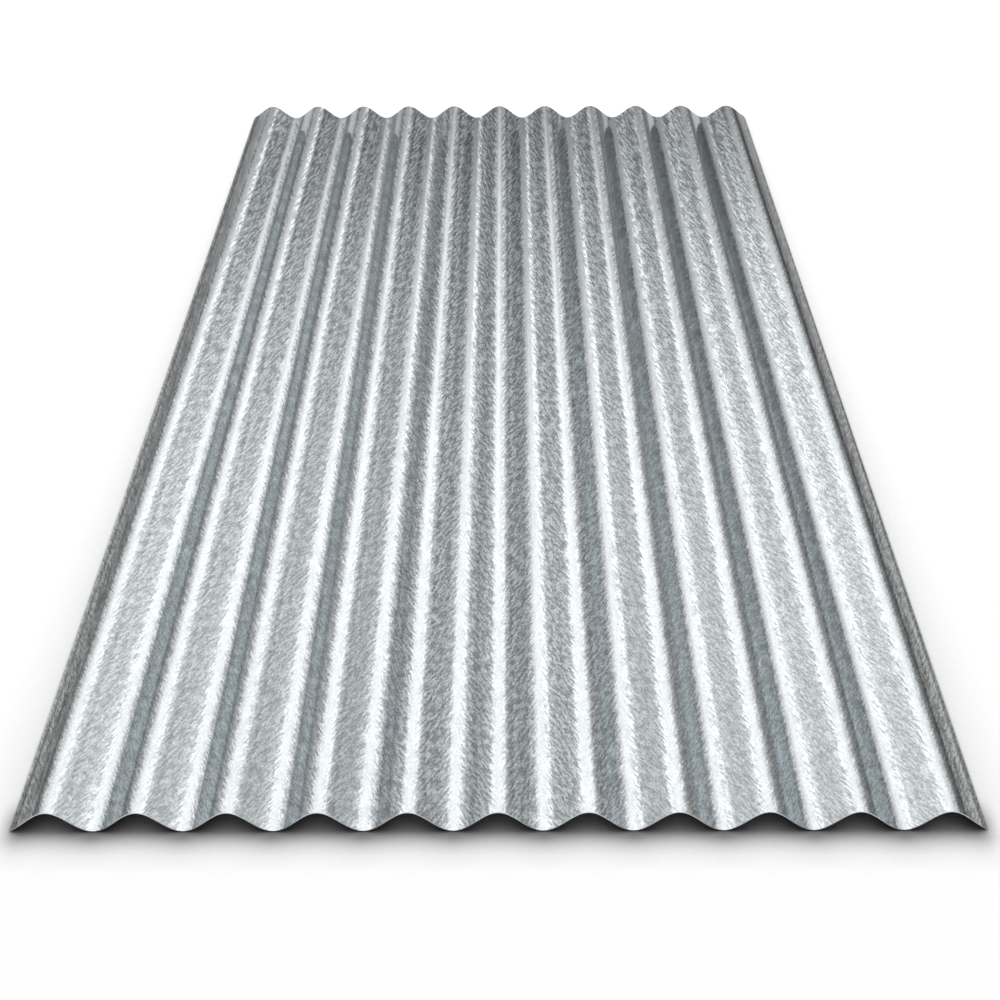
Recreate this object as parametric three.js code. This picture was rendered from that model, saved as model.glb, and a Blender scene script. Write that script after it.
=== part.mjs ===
// A corrugated galvanised steel roofing and cladding sheet, lying flat as it is stored.
//
// Millimetres, +Z up. X runs across the corrugations and Y along them. The origin is under
// the middle of the sheet, at the height of the valleys' undersides, so the sheet rests on z = 0.

import * as THREE from 'three';

// Driving dimensions
const PITCH = 76.2; // crest to crest, the 3 inch corrugation
const CREST_COUNT = 11; // ten pitches between the two outer crests
const DEPTH = 20; // crest to valley, measured on the same side of the metal
const GAUGE = 0.8; // metal thickness, zinc included
const LENGTH = 1800; // along the corrugations
const EDGE_RUN = 31.5; // from each outer crest, down the slope, to the cut side edge

// Each wave is made of this many straight facets, one of them level on the crest and one in the valley
const FACETS_PER_WAVE = 32;
const SHORTEST_FACET = 0.05; // a shorter last facet at a side edge joins its neighbour

const FIRST_CREST = -((CREST_COUNT - 1) * PITCH) / 2;
const SIDE_EDGE = -FIRST_CREST + EDGE_RUN;
const MIDDLE_HEIGHT = (DEPTH + GAUGE) / 2;

// The facets' corners lie on a cosine wave a little taller than the sheet, which puts
// the level facets at its full depth.
const AMPLITUDE = DEPTH / 2 / Math.cos(Math.PI / FACETS_PER_WAVE);
const WAVE_NUMBER = (2 * Math.PI) / PITCH;

// Where the facets' corners stand across the sheet, from one cut side edge to the other
function cornerStations() {
	const facetWidth = PITCH / FACETS_PER_WAVE;
	const firstInside = Math.ceil((-SIDE_EDGE + SHORTEST_FACET - FIRST_CREST) / facetWidth - 0.5);
	const stations = [-SIDE_EDGE];
	for (let corner = firstInside; ; corner++) {
		const x = FIRST_CREST + (corner + 0.5) * facetWidth;
		if (x > SIDE_EDGE - SHORTEST_FACET) break;
		stations.push(x);
	}
	stations.push(SIDE_EDGE);
	return stations;
}

// A point of the section, off the middle of the metal by a distance square to the wave
function sectionPoint(x, offset) {
	const phase = WAVE_NUMBER * (x - FIRST_CREST);
	const height = MIDDLE_HEIGHT + AMPLITUDE * Math.cos(phase);
	const slope = -AMPLITUDE * WAVE_NUMBER * Math.sin(phase);
	const square = new THREE.Vector2(-slope, 1).normalize();
	return new THREE.Vector2(x, height).addScaledVector(square, offset);
}

// The rolled section: the upper face from right to left, then the underside back again
function corrugatedSection() {
	const stations = cornerStations();
	const underside = stations.map((x) => sectionPoint(x, -GAUGE / 2));
	const upperFace = stations.map((x) => sectionPoint(x, GAUGE / 2));
	return new THREE.Shape([...underside, ...upperFace.reverse()]);
}

function corrugatedSheet() {
	const geometry = new THREE.ExtrudeGeometry(corrugatedSection(), {
		depth: LENGTH,
		steps: 1,
		bevelEnabled: false,
	});
	// The extrusion's height becomes the sheet's +Z, and its depth runs along Y
	geometry.rotateX(Math.PI / 2);
	geometry.translate(0, LENGTH / 2, 0);

	const galvanisedSteel = new THREE.MeshStandardMaterial({
		color: 0xb3b8bb,
		metalness: 0.9,
		roughness: 0.35,
	});
	const sheet = new THREE.Mesh(geometry, galvanisedSteel);
	sheet.name = 'corrugated_sheet';
	return sheet;
}

const part = new THREE.Group();
part.add(corrugatedSheet());

export default part;
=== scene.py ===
"""The looks of a corrugated galvanised steel sheet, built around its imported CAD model.

Metres, in the row frame: x across the corrugations, y along them towards the back end, z up.
"""
import math

import bpy
import numpy as np
from mathutils import Matrix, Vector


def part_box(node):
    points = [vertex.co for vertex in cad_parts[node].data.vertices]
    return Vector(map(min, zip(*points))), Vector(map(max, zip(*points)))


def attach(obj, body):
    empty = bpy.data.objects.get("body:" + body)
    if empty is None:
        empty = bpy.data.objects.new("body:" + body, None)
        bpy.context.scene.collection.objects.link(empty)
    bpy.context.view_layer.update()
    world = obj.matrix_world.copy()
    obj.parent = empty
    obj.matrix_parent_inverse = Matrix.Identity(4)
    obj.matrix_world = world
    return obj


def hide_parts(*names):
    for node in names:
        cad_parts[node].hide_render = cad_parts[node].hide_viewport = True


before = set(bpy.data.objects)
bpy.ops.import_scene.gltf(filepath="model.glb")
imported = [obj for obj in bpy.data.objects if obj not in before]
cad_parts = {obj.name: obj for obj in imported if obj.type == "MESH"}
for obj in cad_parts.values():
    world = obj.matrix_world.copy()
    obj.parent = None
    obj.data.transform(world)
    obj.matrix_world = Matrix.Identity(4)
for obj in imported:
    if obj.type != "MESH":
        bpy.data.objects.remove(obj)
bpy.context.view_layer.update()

# The sheet
NODE = "corrugated_sheet"
SLOT = "galvanised_steel"
PITCH = 0.0762  # crest to crest
GAUGE = 0.0008
SHEET_HALF_LENGTH = 0.9
SEGMENTS_PER_WAVE = 48
EDGE_TRIES = 20  # to find where the middle of the metal ends
ROW_SPACING = 0.03  # between the rows of points along the sheet
SHARP_EDGE = math.radians(40)
UNDERSIDE_AWAY = 3.0  # between the two faces in the texture's plane, so that they aren't alike

# The zinc coat. Two values are where a change begins and where it is complete. On a wave, its side is 0 on
# the crest and in the valley, and 1 or -1 half-way down a slope.
STEEL_COLOUR = (0.508, 0.54, 0.553)
BAND_COLOUR = (0.517, 0.54, 0.553)  # on crests and in valleys
SLOPE_SIDE = (0.5, 0.8)  # from the band's colour to the steel's
CUT_COLOUR = (0.80, 0.81, 0.81)  # of the sheared ends
CUT_FACING = (0.5, 0.9)  # how squarely a face looks along the sheet
ROUGHNESS = 0.13
EDGE_TINT = 0.64  # the coat is dull at grazing angles
EDGE_TEXTURE = 0.35  # how much of the coat's own colour shows there

# The strokes and specks in the coat. Their size is at the front end; towards the back end they grow.
STROKE_WIDTH = 0.0021
STROKE_LENGTH = 0.016
STROKE_HEIGHT = 0.000010
STROKE_LEAN = math.radians(24)  # away from the sheet's length, opposite on the two sides of a wave
LEAN_SIDE = 0.3  # up to which the two leans mix
STROKE_TURNS = 2.0
STROKE_TONE_FRONT = 0.60
STROKE_TONE_BACK = 0.75
STROKE_SIDE = (0.10, 0.55)  # from the smooth crests and valleys to the slopes
SPECK_WIDTH = 0.0013
SPECK_LENGTH = 0.0045
SPECK_TONE = 0.55
SPECK_TONE_SMOOTH = 0.25  # on crests and in valleys
SMEAR_WIDTH = 0.008
SMEAR_LENGTH = 0.040
SMEAR_TONE = 0.12
LENGTH_GROWTH = 0.60  # per metre
WIDTH_GROWTH = 0.10
NOISE_RANGE = (0.30, 0.70)
BEND_SIZE = 0.010
BEND = 0.003
RIPPLE_SIZE = 0.045
RIPPLE_HEIGHT = 0.00006

# The slopes that are smoother, by whether they face outward or inward
SMOOTH_FROM = 0.22  # distance from the middle line
SMOOTH_FACING = (0.40, 0.80)
SMOOTH_OUTWARD_FRONT = 0.45  # how much less the strokes show, at the two ends of the sheet
SMOOTH_OUTWARD_BACK = 0.85
SMOOTH_INWARD_FRONT = 0.40
SMOOTH_INWARD_BACK = 0.0
OUTERMOST_FROM = (0.378, 0.388)  # distance from the middle line
OUTERMOST_STROKES = 0.4  # how much more they show there

# Painted shade on the two outermost slopes, with a lighter rim: dark patches in the coat's colour that stand
# for the darker reflection there
PAINTED_OUTER_SHADE_DARK = (0.22, 0.215, 0.21)
PAINTED_OUTER_SHADE_LIGHT = (0.38, 0.39, 0.39)
PAINTED_OUTER_SHADE_MIX = (0.35, 0.65)
PAINTED_OUTER_SHADE_TONE_BACK = 0.62
PAINTED_OUTER_SHADE_WIDTH = 0.005
PAINTED_OUTER_SHADE_LENGTH = 0.035
PAINTED_OUTER_SHADE_FROM = (0.387, 0.397)  # distance from the middle line
PAINTED_OUTER_SHADE_RAGGED = 0.003
RIM_FROM = (0.401, 0.408)
RIM_FRONT = 0.75  # how much of the painted shade is gone there
RIM_BACK = 0.35

# Painted shade across a wave at the two ends of the sheet, from one valley (0) over the crest (0.5) to the
# next valley (1): darker lines beside the crests and valleys and on the slopes paint the crisp edges of the
# bands of reflected light into the coat's colour
PAINTED_WAVE_SHADE_FRONT = (
    (0.0, 1.0), (0.05, 0.98), (0.105, 0.96), (0.13, 0.76), (0.17, 0.80), (0.22, 0.88), (0.29, 0.86),
    (0.35, 0.78), (0.405, 0.76), (0.435, 0.98), (0.50, 1.0), (0.575, 0.98), (0.60, 0.66), (0.66, 0.62),
    (0.70, 0.94), (0.78, 1.0), (0.87, 0.98), (0.915, 0.84), (0.94, 1.0), (1.0, 1.0),
)
PAINTED_WAVE_SHADE_BACK = (
    (0.0, 0.90), (0.03, 0.86), (0.07, 0.98), (0.11, 1.0), (0.14, 0.78), (0.17, 0.78), (0.21, 0.96),
    (0.28, 1.0), (0.36, 0.90), (0.40, 0.80), (0.43, 1.0), (0.48, 1.0), (0.53, 0.90), (0.58, 0.96),
    (0.615, 1.0), (0.64, 0.62), (0.67, 0.64), (0.70, 0.94), (0.78, 1.0), (0.86, 0.98), (0.905, 0.86),
    (0.96, 0.95), (1.0, 0.90),
)
PAINTED_WAVE_SHADE_RAGGED = 0.02

# How far the photograph's bands of light lie right of the crests and valleys: in the middle of the sheet's
# length, and more with each metre towards the back
BAND_SHIFT = 0.0023
BAND_SHIFT_GROWTH = 0.0019
WAVE_SLOPE = 0.8246  # at its steepest

# The camera, found from the sheet's corners and crests in the photograph
CAMERA_PLACE = (0.00484, -2.08471, 1.03559)
CAMERA_DOWN = 0.539509  # radians below level
CAMERA_TURN = 0.0020718
CAMERA_ROLL = -0.0033461
FOCAL_PIXELS = 1832.07
FRAME_PIXELS = 1000
SENSOR_WIDTH = 36.0
FARTHEST_SEEN = 1000.0

# The floor. Its shade is darkest where the sheet is near, and in front of the front end's valleys.
FLOOR_SIZE = 400.0
NEAR_SHEET = 0.06
NEAR_SAMPLES = 8
NEAR_POWER = 2.0
DARKEST_FLOOR = 0.2
SHADE_REACH = 0.05
SHADE_BY_DISTANCE = ((0.0, 0.14), (0.18, 0.30), (0.30, 0.52), (0.40, 0.68), (0.60, 0.87), (1.0, 1.0))
SHADE_UNDER = (-1.0, -0.2)  # where it begins under the sheet, in shade reaches
SHADE_SIDE_END = (0.40, 0.43)  # distance from the middle line

# The soft box: a soft light behind the sheet. Its light is a glow round its foot, by distance and by
# direction from there, with a narrower streak that leans to the left.
BOX_DISTANCE = 2.0
BOX_WIDTH = 5.6
BOX_HIGH = 3.6
GLOW_REACH = 4.0
GLOW_BY_DISTANCE = (
    (0.0, 0.0), (0.08, 0.10), (0.106, 0.23), (0.133, 0.51), (0.165, 0.70), (0.21, 0.91), (0.27, 1.14),
    (0.345, 1.31), (0.45, 1.31), (0.60, 1.22), (0.78, 1.12), (0.90, 0.0),
)
GLOW_BY_DIRECTION = (
    (0.0, 0.07), (0.19, 0.18), (0.32, 0.31), (0.44, 0.46), (0.515, 0.55), (0.60, 0.64), (0.70, 0.74),
    (0.80, 0.92), (0.88, 1.0),
)
GLOW_LEAN = math.radians(6)
STREAK_BY_DISTANCE = (
    (0.0, 0.1), (0.106, 0.48), (0.133, 0.58), (0.20, 0.60), (0.27, 0.46), (0.345, 0.26), (0.45, 0.08),
    (0.60, 0.0),
)
STREAK_BY_DIRECTION = ((0.77, 0.0), (0.88, 0.10), (0.934, 0.30), (0.97, 0.62), (0.99, 0.88), (1.0, 1.0))
STREAK_LEAN = math.radians(22)

# Strength of the room's light against height, from level (0) to straight up (1)
ROOM_BEHIND = (
    (0.0, 0.90), (0.005, 0.90), (0.010, 0.28), (0.06, 0.40), (0.125, 0.54), (0.20, 0.49), (0.33, 0.40),
    (0.45, 0.46), (0.66, 0.55), (0.80, 1.0), (1.0, 1.35),
)
ROOM_IN_FRONT = (
    (0.0, 0.90), (0.005, 0.90), (0.010, 0.50), (0.30, 0.55), (0.50, 0.75), (0.75, 1.10), (1.0, 1.35),
)
ROOM_CHANGE = (-0.25, 0.25)  # from the front half to the one behind, by direction


def wave(x, middle, amplitude):
    """Height and slope of the middle of the metal, a crest at x = 0."""
    wave_number = 2 * math.pi / PITCH
    height = middle + amplitude * np.cos(wave_number * x)
    slope = -amplitude * wave_number * np.sin(wave_number * x)
    return height, slope


def sheet_section():
    """Points of the upper face and of the underside, and the distance of each across the flat blank."""
    low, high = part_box(NODE)
    amplitude = (high.z - low.z - GAUGE) / 2
    middle = (high.z + low.z) / 2
    edge = high.x
    for _ in range(EDGE_TRIES):
        _, slope = wave(edge, middle, amplitude)
        edge = high.x - GAUGE / 2 * abs(slope) / math.hypot(1, slope)
    steps = round(2 * edge / PITCH * SEGMENTS_PER_WAVE)
    x = np.linspace(-edge, edge, steps + 1)
    height, slope = wave(x, middle, amplitude)
    square = np.stack([-slope, np.ones_like(slope)]) / np.hypot(1, slope)
    line = np.stack([x, height])
    upper = line + square * GAUGE / 2
    under = line - square * GAUGE / 2
    across = np.concatenate([[0], np.cumsum(np.hypot(*np.diff(line)))])
    return upper.T, under.T, across - across[-1] / 2


def sheet_mesh():
    upper, under, across = sheet_section()
    low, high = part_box(NODE)
    rows = np.linspace(low.y, high.y, round((high.y - low.y) / ROW_SPACING) + 1)
    columns = len(across)
    section = np.concatenate([upper, under])
    points = [(x, y, z) for y in rows for x, z in section]
    faces = []
    face_places = []

    def add_face(corners, turned=False):
        """A face by (row, column, is under) corners, with its place on the flat blank."""
        corners = corners[::-1] if turned else corners
        faces.append([row * 2 * columns + is_under * columns + column for row, column, is_under in corners])
        away = UNDERSIDE_AWAY if all(is_under for _, _, is_under in corners) else 0.0
        face_places.extend((across[column] + away, rows[row]) for row, column, _ in corners)

    last_row, last_column = len(rows) - 1, columns - 1
    for row in range(last_row):
        for column in range(last_column):
            square = [(row, column), (row, column + 1), (row + 1, column + 1), (row + 1, column)]
            add_face([(r, c, 0) for r, c in square])
            add_face([(r, c, 1) for r, c in square], turned=True)
        for column, turned in ((0, True), (last_column, False)):
            add_face([(row, column, 1), (row + 1, column, 1), (row + 1, column, 0), (row, column, 0)], turned)
    for column in range(last_column):
        for row, turned in ((0, False), (last_row, True)):
            add_face([(row, column, 1), (row, column + 1, 1), (row, column + 1, 0), (row, column, 0)], turned)
    mesh = bpy.data.meshes.new(NODE + "_rolled")
    mesh.from_pydata(points, [], faces)
    blank = mesh.uv_layers.new(name="blank")
    blank.data.foreach_set("uv", np.array(face_places, np.float32).ravel())
    mesh.shade_smooth()
    mesh.set_sharp_from_angle(angle=SHARP_EDGE)
    mesh.validate()
    return mesh


def connect(tree, value, socket):
    """Gives a socket another node's output, or a value."""
    if isinstance(value, bpy.types.NodeSocket):
        tree.links.new(value, socket)
    else:
        socket.default_value = value


def new_node(tree, kind, settings=None, **sockets):
    """Adds a node. A socket is given by its name, with _ for a space."""
    node = tree.nodes.new(kind)
    for name, value in (settings or {}).items():
        setattr(node, name, value)
    for name, value in sockets.items():
        connect(tree, value, node.inputs[name.replace("_", " ")])
    return node


def calculate(tree, operation, *values):
    node = new_node(tree, "ShaderNodeMath", {"operation": operation})
    for value, socket in zip(values, node.inputs):
        connect(tree, value, socket)
    return node.outputs[0]


def calculate_vector(tree, operation, *values):
    node = new_node(tree, "ShaderNodeVectorMath", {"operation": operation})
    sockets = [socket for socket in node.inputs if socket.enabled]
    for value, socket in zip(values, sockets):
        connect(tree, value, socket)
    return node.outputs["Vector"]


def blend(tree, factor, first, second):
    mix = new_node(tree, "ShaderNodeMix", {"data_type": "RGBA"})
    for value, socket in zip((factor, first, second), (mix.inputs["Factor"], mix.inputs[6], mix.inputs[7])):
        connect(tree, value, socket)
    return mix.outputs[2]


def smooth_step(tree, value, low, high):
    step = new_node(tree, "ShaderNodeMapRange", {"interpolation_type": "SMOOTHSTEP"},
                    Value=value, From_Min=low, From_Max=high)
    return step.outputs["Result"]


def ramp(tree, stops, place):
    """A grey scale of up to 1 through (place, strength) stops."""
    node = new_node(tree, "ShaderNodeValToRGB", Fac=place)
    elements = node.color_ramp.elements
    while len(elements) < len(stops):
        elements.new(1.0)
    for element, (position, strength) in zip(elements, stops):
        element.position = position
        element.color = (strength,) * 3 + (1,)
    return node.outputs["Color"]


def noise(tree, place, size, detail=1.0):
    node = new_node(tree, "ShaderNodeTexNoise", Vector=place, Scale=1 / size, Detail=detail)
    return node.outputs["Fac"]


def sheet_place(tree):
    """Places across and along the sheet, in metres."""
    place = new_node(tree, "ShaderNodeTexCoord").outputs["Object"]
    parts = new_node(tree, "ShaderNodeSeparateXYZ", Vector=place).outputs
    return parts["X"], parts["Y"]


def towards_back(tree, y):
    """From 0 at the front end of the sheet to 1 at the back end."""
    return smooth_step(tree, y, -SHEET_HALF_LENGTH, SHEET_HALF_LENGTH)


def between_ends(tree, y, front, back):
    """A value that changes smoothly from the front end of the sheet to the back end."""
    return calculate(tree, "MULTIPLY_ADD", towards_back(tree, y), back - front, front)


def wave_side(tree, x):
    """From -1 on the left slope of each wave to 1 on the right, and 0 on crests and in valleys."""
    return calculate(tree, "SINE", calculate(tree, "MULTIPLY", x, 2 * math.pi / PITCH))


def coarseness(tree, x, y, side):
    """How much the strokes show: most on the slopes, but less on those far from the middle line."""
    slope = smooth_step(tree, calculate(tree, "ABSOLUTE", side), *STROKE_SIDE)
    facing = smooth_step(tree, x, -SMOOTH_FROM, SMOOTH_FROM)
    facing = calculate(tree, "MULTIPLY", calculate(tree, "MULTIPLY_ADD", facing, 2.0, -1.0), side)
    outermost = smooth_step(tree, calculate(tree, "ABSOLUTE", x), *OUTERMOST_FROM)
    outermost = calculate(tree, "MULTIPLY", outermost, OUTERMOST_STROKES)
    outward = calculate(tree, "SUBTRACT", smooth_step(tree, facing, *SMOOTH_FACING), outermost)
    outward = calculate(tree, "MAXIMUM", outward, 0.0)
    outward = calculate(tree, "MULTIPLY", outward,
                        between_ends(tree, y, SMOOTH_OUTWARD_FRONT, SMOOTH_OUTWARD_BACK))
    inward = smooth_step(tree, calculate(tree, "MULTIPLY", facing, -1.0), *SMOOTH_FACING)
    inward = calculate(tree, "MULTIPLY", inward,
                       between_ends(tree, y, SMOOTH_INWARD_FRONT, SMOOTH_INWARD_BACK))
    smoothness = calculate(tree, "ADD", outward, inward)
    return calculate(tree, "MULTIPLY", slope, calculate(tree, "SUBTRACT", 1.0, smoothness))


def grown_place(tree, place):
    """The place on the flat sheet, shrunk towards the back end so that what is drawn there grows."""
    parts = new_node(tree, "ShaderNodeSeparateXYZ", Vector=place).outputs
    along = calculate(tree, "ADD", parts["Y"], SHEET_HALF_LENGTH)
    shrunk = calculate(tree, "EXPONENT", calculate(tree, "MULTIPLY", along, -LENGTH_GROWTH))
    v = calculate(tree, "MULTIPLY_ADD", shrunk, -1 / LENGTH_GROWTH, 1 / LENGTH_GROWTH)
    u = calculate(tree, "MULTIPLY", parts["X"], calculate(tree, "MULTIPLY_ADD", along, -WIDTH_GROWTH, 1.0))
    return new_node(tree, "ShaderNodeCombineXYZ", X=u, Y=v).outputs["Vector"]


def bend(tree, place):
    """The place moved a little, so that what is drawn there isn't straight."""
    wander = new_node(tree, "ShaderNodeTexNoise", Vector=place, Scale=1 / BEND_SIZE, Detail=1.0)
    wander = calculate_vector(tree, "SUBTRACT", wander.outputs["Color"], (0.5, 0.5, 0.5))
    return calculate_vector(tree, "MULTIPLY_ADD", wander, (BEND, BEND, 0.0), place)


def leaning_noise(tree, place, side, width, length, detail):
    """Noise drawn out into strokes, which lean one way on the left slopes and the other way on the right."""
    layers = []
    for lean in (-STROKE_LEAN, STROKE_LEAN):
        turned = new_node(tree, "ShaderNodeVectorRotate", {"rotation_type": "Z_AXIS"},
                          Vector=place, Angle=lean)
        scaled = calculate_vector(tree, "MULTIPLY", turned.outputs[0], (1 / width, 1 / length, 1.0))
        layers.append(noise(tree, scaled, 1.0, detail))
    return blend(tree, smooth_step(tree, side, -LEAN_SIDE, LEAN_SIDE), *layers)


def strokes(tree, place, side, coarse):
    """Curved strokes from 0 to 1, which are the contour lines of drawn-out noise."""
    level = leaning_noise(tree, place, side, STROKE_WIDTH, STROKE_LENGTH, 1.0)
    contours = calculate(tree, "SINE", calculate(tree, "MULTIPLY", level, 2 * math.pi * STROKE_TURNS))
    return calculate(tree, "MULTIPLY_ADD", calculate(tree, "MULTIPLY", contours, coarse), 0.5, 0.5)


def band_shift(tree, side, y):
    """The height that turns the surface as a small shift of the waves to the right would."""
    shift = calculate(tree, "MULTIPLY_ADD", y, BAND_SHIFT_GROWTH * WAVE_SLOPE, BAND_SHIFT * WAVE_SLOPE)
    return calculate(tree, "MULTIPLY", side, shift)


def coat_relief(tree, place, y, side, stroke):
    ripple = calculate(tree, "MULTIPLY", noise(tree, place, RIPPLE_SIZE), RIPPLE_HEIGHT)
    height = calculate(tree, "MULTIPLY_ADD", stroke, STROKE_HEIGHT, ripple)
    height = calculate(tree, "ADD", height, band_shift(tree, side, y))
    return new_node(tree, "ShaderNodeBump", Strength=1.0, Distance=1.0, Height=height).outputs["Normal"]


def around_one(tree, value, strength):
    """Turns noise into a multiplier from 1 - strength / 2 to 1 + strength / 2."""
    centred = calculate(tree, "SUBTRACT", smooth_step(tree, value, *NOISE_RANGE), 0.5)
    return calculate(tree, "MULTIPLY_ADD", centred, strength, 1.0)


def painted_wave_shade(tree, x, y, stroke):
    """Painted shade across each wave, darker beside the crests and valleys so that the bands of reflected
    light get crisp edges, which the strokes make ragged.
    """
    place = calculate(tree, "MULTIPLY_ADD", x, 1 / PITCH, 0.5 - PAINTED_WAVE_SHADE_RAGGED / 2)
    place = calculate(tree, "MULTIPLY_ADD", stroke, PAINTED_WAVE_SHADE_RAGGED, place)
    place = calculate(tree, "FRACT", place)
    # painted shade stops at the front end and at the back end, blended along the sheet
    ends = [ramp(tree, stops, place) for stops in (PAINTED_WAVE_SHADE_FRONT, PAINTED_WAVE_SHADE_BACK)]
    return blend(tree, towards_back(tree, y), *ends)


def grain_and_painted_shade(tree, place, x, y, side, stroke, coarse):
    """How light the coat is, from its strokes, specks and smears, and from painted shade by place on the
    wave.
    """
    strength = between_ends(tree, y, STROKE_TONE_FRONT, STROKE_TONE_BACK)
    tone = calculate(tree, "MULTIPLY_ADD", calculate(tree, "SUBTRACT", stroke, 0.5), strength, 1.0)
    speck = leaning_noise(tree, place, side, SPECK_WIDTH, SPECK_LENGTH, 2.0)
    strength = calculate(tree, "MULTIPLY_ADD", coarse, SPECK_TONE - SPECK_TONE_SMOOTH, SPECK_TONE_SMOOTH)
    tone = calculate(tree, "MULTIPLY", tone, around_one(tree, speck, strength))
    smear = leaning_noise(tree, place, side, SMEAR_WIDTH, SMEAR_LENGTH, 1.0)
    tone = calculate(tree, "MULTIPLY", tone, around_one(tree, smear, SMEAR_TONE))
    # the grain's tone times the painted shade across each wave
    return calculate(tree, "MULTIPLY", tone, painted_wave_shade(tree, x, y, stroke))


def painted_outer_shade_cover(tree, x, y, stroke):
    """How much of the coat the painted shade on the outermost slopes hides."""
    outward = calculate(tree, "MULTIPLY_ADD", stroke, PAINTED_OUTER_SHADE_RAGGED, calculate(tree, "ABSOLUTE", x))
    rim = calculate(tree, "MULTIPLY", smooth_step(tree, outward, *RIM_FROM),
                    between_ends(tree, y, RIM_FRONT, RIM_BACK))
    return calculate(tree, "SUBTRACT", smooth_step(tree, outward, *PAINTED_OUTER_SHADE_FROM), rim)


def painted_outer_shade_colour(tree, place, y):
    # the painted shade's colour: dark and lighter patches, darker towards the back end
    patches = calculate_vector(tree, "MULTIPLY", place, (1 / PAINTED_OUTER_SHADE_WIDTH, 1 / PAINTED_OUTER_SHADE_LENGTH, 1.0))
    patches = smooth_step(tree, noise(tree, patches, 1.0, 2.0), *PAINTED_OUTER_SHADE_MIX)
    outer_shade = blend(tree, patches, (*PAINTED_OUTER_SHADE_DARK, 1), (*PAINTED_OUTER_SHADE_LIGHT, 1))
    return calculate_vector(tree, "SCALE", outer_shade, between_ends(tree, y, 1.0, PAINTED_OUTER_SHADE_TONE_BACK))


def cut_end(tree):
    """1 on the sheared ends of the sheet, and 0 elsewhere."""
    normal = new_node(tree, "ShaderNodeNewGeometry").outputs["True Normal"]
    along = new_node(tree, "ShaderNodeSeparateXYZ", Vector=normal).outputs["Y"]
    return smooth_step(tree, calculate(tree, "ABSOLUTE", along), *CUT_FACING)


def galvanised_steel():
    material = bpy.data.materials.new(SLOT)
    material.use_nodes = True
    tree = material.node_tree
    shader = tree.nodes["Principled BSDF"]
    blank = new_node(tree, "ShaderNodeUVMap", {"uv_map": "blank"}).outputs["UV"]
    x, y = sheet_place(tree)
    side = wave_side(tree, x)
    place = bend(tree, grown_place(tree, blank))
    coarse = coarseness(tree, x, y, side)
    stroke = strokes(tree, place, side, coarse)
    slope = smooth_step(tree, calculate(tree, "ABSOLUTE", side), *SLOPE_SIDE)
    coat = blend(tree, slope, (*BAND_COLOUR, 1), (*STEEL_COLOUR, 1))
    # painted shade on the two outermost slopes, standing for their darker reflection
    coat = blend(tree, painted_outer_shade_cover(tree, x, y, stroke), coat, painted_outer_shade_colour(tree, place, y))
    # the coat is darkened by its grain and by painted shade across each wave
    coat = calculate_vector(tree, "SCALE", coat, grain_and_painted_shade(tree, place, x, y, side, stroke, coarse))
    colour = blend(tree, cut_end(tree), coat, (*CUT_COLOUR, 1))
    edge = blend(tree, EDGE_TEXTURE, (EDGE_TINT, EDGE_TINT, EDGE_TINT, 1), colour)
    tree.links.new(colour, shader.inputs["Base Color"])
    tree.links.new(edge, shader.inputs["Specular Tint"])
    tree.links.new(coat_relief(tree, blank, y, side, stroke), shader.inputs["Normal"])
    shader.inputs["Metallic"].default_value = 1.0
    shader.inputs["Roughness"].default_value = ROUGHNESS
    return material


def build_sheet():
    sheet = bpy.data.objects.new("rolled_sheet", sheet_mesh())
    bpy.context.scene.collection.objects.link(sheet)
    sheet.data.materials.append(galvanised_steel())
    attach(sheet, "root")
    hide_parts(NODE)


def contact_shade(tree):
    """A soft shade on the floor in front of the valleys, to match the shade in front of the arches."""
    x, y = sheet_place(tree)
    ahead = calculate(tree, "MULTIPLY_ADD", y, -1 / SHADE_REACH, -SHEET_HALF_LENGTH / SHADE_REACH)
    shade = ramp(tree, SHADE_BY_DISTANCE, ahead)
    valley = calculate(tree, "COSINE", calculate(tree, "MULTIPLY", x, 2 * math.pi / PITCH))
    valley = calculate(tree, "MULTIPLY_ADD", valley, -0.5, 0.5)
    beside = smooth_step(tree, calculate(tree, "ABSOLUTE", x), *SHADE_SIDE_END)
    valley = calculate(tree, "MULTIPLY", valley, calculate(tree, "SUBTRACT", 1.0, beside))
    valley = calculate(tree, "MULTIPLY", valley, smooth_step(tree, ahead, *SHADE_UNDER))
    return calculate(tree, "MULTIPLY_ADD", calculate(tree, "SUBTRACT", shade, 1.0), valley, 1.0)


def white_floor():
    material = bpy.data.materials.new("white_floor")
    material.use_nodes = True
    tree = material.node_tree
    tree.nodes.remove(tree.nodes["Principled BSDF"])
    near = new_node(tree, "ShaderNodeAmbientOcclusion", {"samples": NEAR_SAMPLES}, Distance=NEAR_SHEET)
    shade = calculate(tree, "POWER", near.outputs["AO"], NEAR_POWER)
    shade = calculate(tree, "MAXIMUM", shade, DARKEST_FLOOR)
    shade = calculate(tree, "MULTIPLY", shade, contact_shade(tree))
    colour = new_node(tree, "ShaderNodeCombineColor", Red=shade, Green=shade, Blue=shade)
    diffuse = new_node(tree, "ShaderNodeBsdfDiffuse", Color=colour.outputs["Color"])
    tree.links.new(diffuse.outputs["BSDF"], tree.nodes["Material Output"].inputs["Surface"])
    return material


def build_floor():
    half = FLOOR_SIZE / 2
    corners = [(-half, -half, 0), (half, -half, 0), (half, half, 0), (-half, half, 0)]
    mesh = bpy.data.meshes.new("floor")
    mesh.from_pydata(corners, [], [(0, 1, 2, 3)])
    mesh.materials.append(white_floor())
    floor = bpy.data.objects.new("floor", mesh)
    bpy.context.scene.collection.objects.link(floor)


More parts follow.
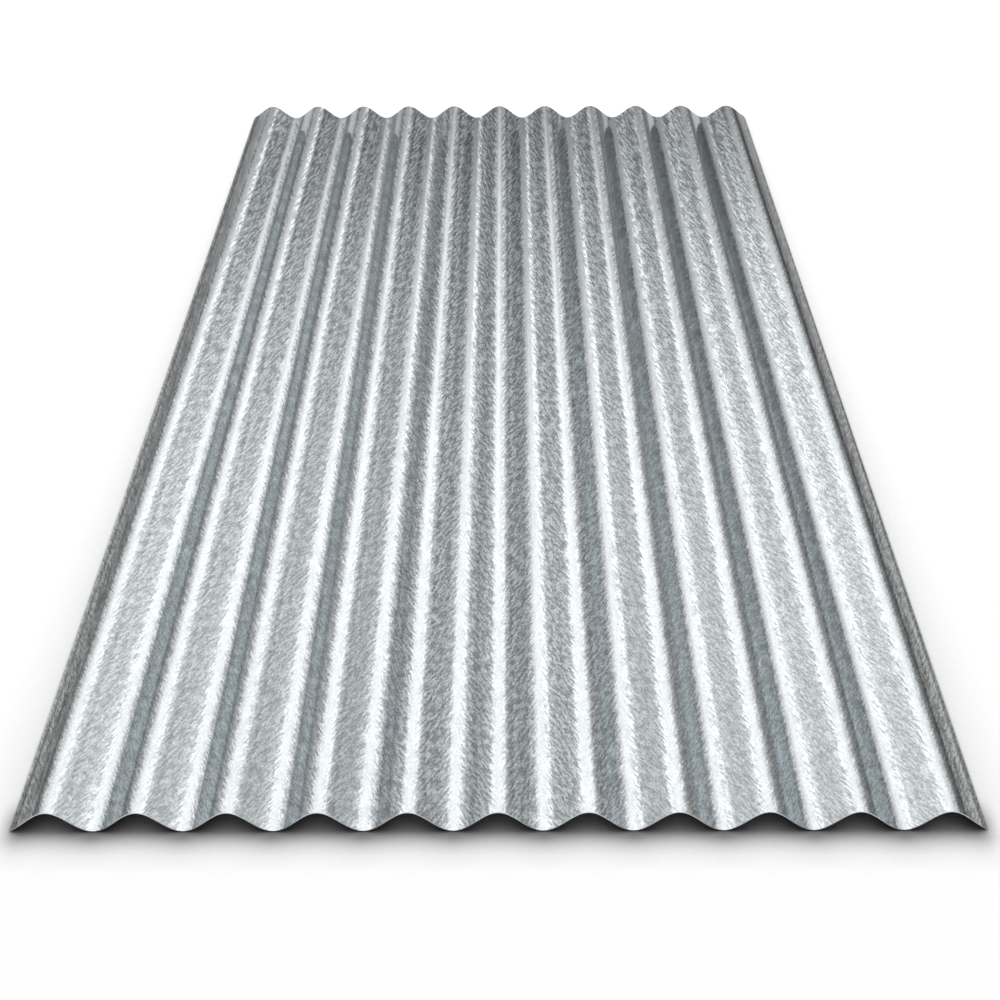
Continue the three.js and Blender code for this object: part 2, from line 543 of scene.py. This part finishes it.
def build_room():
    world = bpy.data.worlds.new("studio")
    bpy.context.scene.world = world
    world.use_nodes = True
    tree = world.node_tree
    direction = new_node(tree, "ShaderNodeTexCoord").outputs["Generated"]
    parts = new_node(tree, "ShaderNodeSeparateXYZ", Vector=direction).outputs
    strongest = max(strength for _, strength in ROOM_BEHIND + ROOM_IN_FRONT)
    halves = []
    for stops in (ROOM_IN_FRONT, ROOM_BEHIND):
        scaled = [(height, strength / strongest) for height, strength in stops]
        halves.append(ramp(tree, scaled, parts["Z"]))
    light = blend(tree, smooth_step(tree, parts["Y"], *ROOM_CHANGE), *halves)
    background = tree.nodes["Background"]
    tree.links.new(light, background.inputs["Color"])
    background.inputs["Strength"].default_value = strongest


def glow(tree, across, up, distance, lean, by_distance, by_direction):
    """Strength by distance from the box's foot, and by the cosine of the angle from a line leaning left."""
    along = calculate(tree, "MULTIPLY", up, math.cos(lean))
    along = calculate(tree, "MULTIPLY_ADD", across, -math.sin(lean), along)
    direction = calculate(tree, "DIVIDE", along, distance)
    strongest = max(strength for _, strength in by_distance)
    scaled = [(place, strength / strongest) for place, strength in by_distance]
    near = ramp(tree, scaled, calculate(tree, "DIVIDE", distance, GLOW_REACH))
    strength = calculate(tree, "MULTIPLY", near, ramp(tree, by_direction, direction))
    return calculate(tree, "MULTIPLY", strength, strongest)


def build_soft_box():
    data = bpy.data.lights.new("soft_box", "AREA")
    data.shape = "RECTANGLE"
    data.size = BOX_WIDTH
    data.size_y = BOX_HIGH
    data.energy = math.pi * BOX_WIDTH * BOX_HIGH  # with which a strength of 1 is white
    data.use_nodes = True
    tree = data.node_tree
    place = new_node(tree, "ShaderNodeNewGeometry").outputs["Parametric"]
    parts = new_node(tree, "ShaderNodeSeparateXYZ", Vector=place).outputs
    across = calculate(tree, "MULTIPLY_ADD", parts["X"], BOX_WIDTH, -BOX_WIDTH / 2)
    up = calculate(tree, "MULTIPLY_ADD", parts["Y"], -BOX_HIGH, BOX_HIGH)
    squares = [calculate(tree, "MULTIPLY", value, value) for value in (across, up)]
    distance = calculate(tree, "SQRT", calculate(tree, "ADD", *squares))
    wide = glow(tree, across, up, distance, GLOW_LEAN, GLOW_BY_DISTANCE, GLOW_BY_DIRECTION)
    narrow = glow(tree, across, up, distance, STREAK_LEAN, STREAK_BY_DISTANCE, STREAK_BY_DIRECTION)
    tree.links.new(calculate(tree, "ADD", wide, narrow), tree.nodes["Emission"].inputs["Strength"])
    lamp = bpy.data.objects.new("soft_box", data)
    bpy.context.scene.collection.objects.link(lamp)
    lamp.location = (0, BOX_DISTANCE, BOX_HIGH / 2)
    lamp.rotation_euler = (-math.pi / 2, 0, 0)
    lamp.visible_camera = False


def build_camera():
    data = bpy.data.cameras.new("camera")
    data.sensor_fit = "HORIZONTAL"
    data.sensor_width = SENSOR_WIDTH
    data.lens = FOCAL_PIXELS / FRAME_PIXELS * SENSOR_WIDTH
    data.clip_end = FARTHEST_SEEN
    camera = bpy.data.objects.new("camera", data)
    bpy.context.scene.collection.objects.link(camera)
    camera.matrix_world = (
        Matrix.Translation(CAMERA_PLACE)
        @ Matrix.Rotation(CAMERA_TURN, 4, "Z")
        @ Matrix.Rotation(math.pi / 2 - CAMERA_DOWN, 4, "X")
        @ Matrix.Rotation(CAMERA_ROLL, 4, "Z")
    )
    bpy.context.scene.camera = camera


build_camera()
build_room()
build_soft_box()
build_floor()
build_sheet()
bpy.context.scene.view_settings.view_transform = "Standard"
